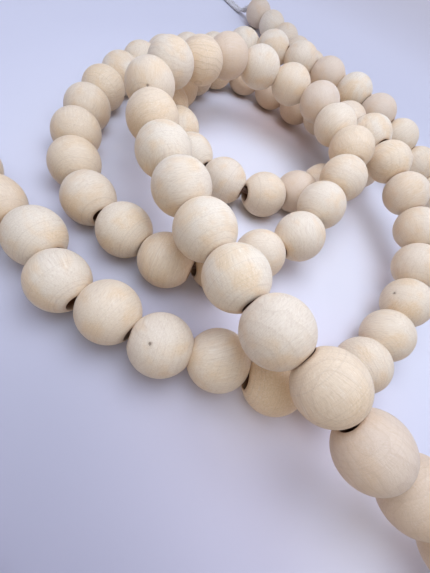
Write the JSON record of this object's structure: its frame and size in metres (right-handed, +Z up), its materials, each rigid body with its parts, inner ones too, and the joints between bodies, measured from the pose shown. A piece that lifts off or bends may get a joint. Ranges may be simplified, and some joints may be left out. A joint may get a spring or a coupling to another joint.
{
  "type": "wood bead garland",
  "caption": "Round turned wooden beads strung on a cotton cord with a hanging loop at each end, lying on a flat surface in loose coils that cross.",
  "frame": {"origin": "on the surface that the garland lies on, under the middle of the box round its beads", "axes": "+Z up from the surface, +Y away from the viewer along the coils' length, +X to the viewer's right"},
  "size_m": [0.3219, 0.4256, 0.0433],
  "materials": {
    "bead_wood": "unfinished, sanded",
    "cotton_cord": "twisted cotton"
  },
  "bodies": {
    "root": {"bead_001": "bead_wood", "beads_002_003": "bead_wood", "beads_004_005": "bead_wood", "beads_006_007": "bead_wood", "beads_008_009": "bead_wood", "beads_010_011": "bead_wood", "beads_012_013": "bead_wood", "beads_014_015": "bead_wood", "beads_016_017": "bead_wood", "beads_018_019": "bead_wood", "beads_020_021": "bead_wood", "beads_022_023": "bead_wood", "beads_024_025": "bead_wood", "beads_026_027": "bead_wood", "beads_028_029": "bead_wood", "beads_030_031": "bead_wood", "beads_032_033": "bead_wood", "beads_034_035": "bead_wood", "beads_036_037": "bead_wood", "beads_038_039": "bead_wood", "beads_040_041": "bead_wood", "beads_042_043": "bead_wood", "beads_044_045": "bead_wood", "beads_046_047": "bead_wood", "beads_048_049": "bead_wood", "beads_050_051": "bead_wood", "beads_052_053": "bead_wood", "beads_054_055": "bead_wood", "beads_056_057": "bead_wood", "beads_058_059": "bead_wood", "beads_060_061": "bead_wood", "beads_062_063": "bead_wood", "beads_064_065": "bead_wood", "beads_066_067": "bead_wood", "beads_068_069": "bead_wood", "beads_070_071": "bead_wood", "beads_072_073": "bead_wood", "beads_074_075": "bead_wood", "beads_076_077": "bead_wood", "beads_078_079": "bead_wood", "beads_080_081": "bead_wood", "beads_082_083": "bead_wood", "beads_084_085": "bead_wood", "beads_086_087": "bead_wood", "beads_088_089": "bead_wood", "beads_090_091": "bead_wood", "beads_092_093": "bead_wood", "beads_094_095": "bead_wood", "beads_096_097": "bead_wood", "beads_098_099": "bead_wood", "beads_100_101": "bead_wood", "beads_102_103": "bead_wood", "beads_104_105": "bead_wood", "beads_106_107": "bead_wood", "threading_cord": "cotton_cord", "first_loop": "cotton_cord", "second_loop": "cotton_cord"}
  },
  "joints": []
}
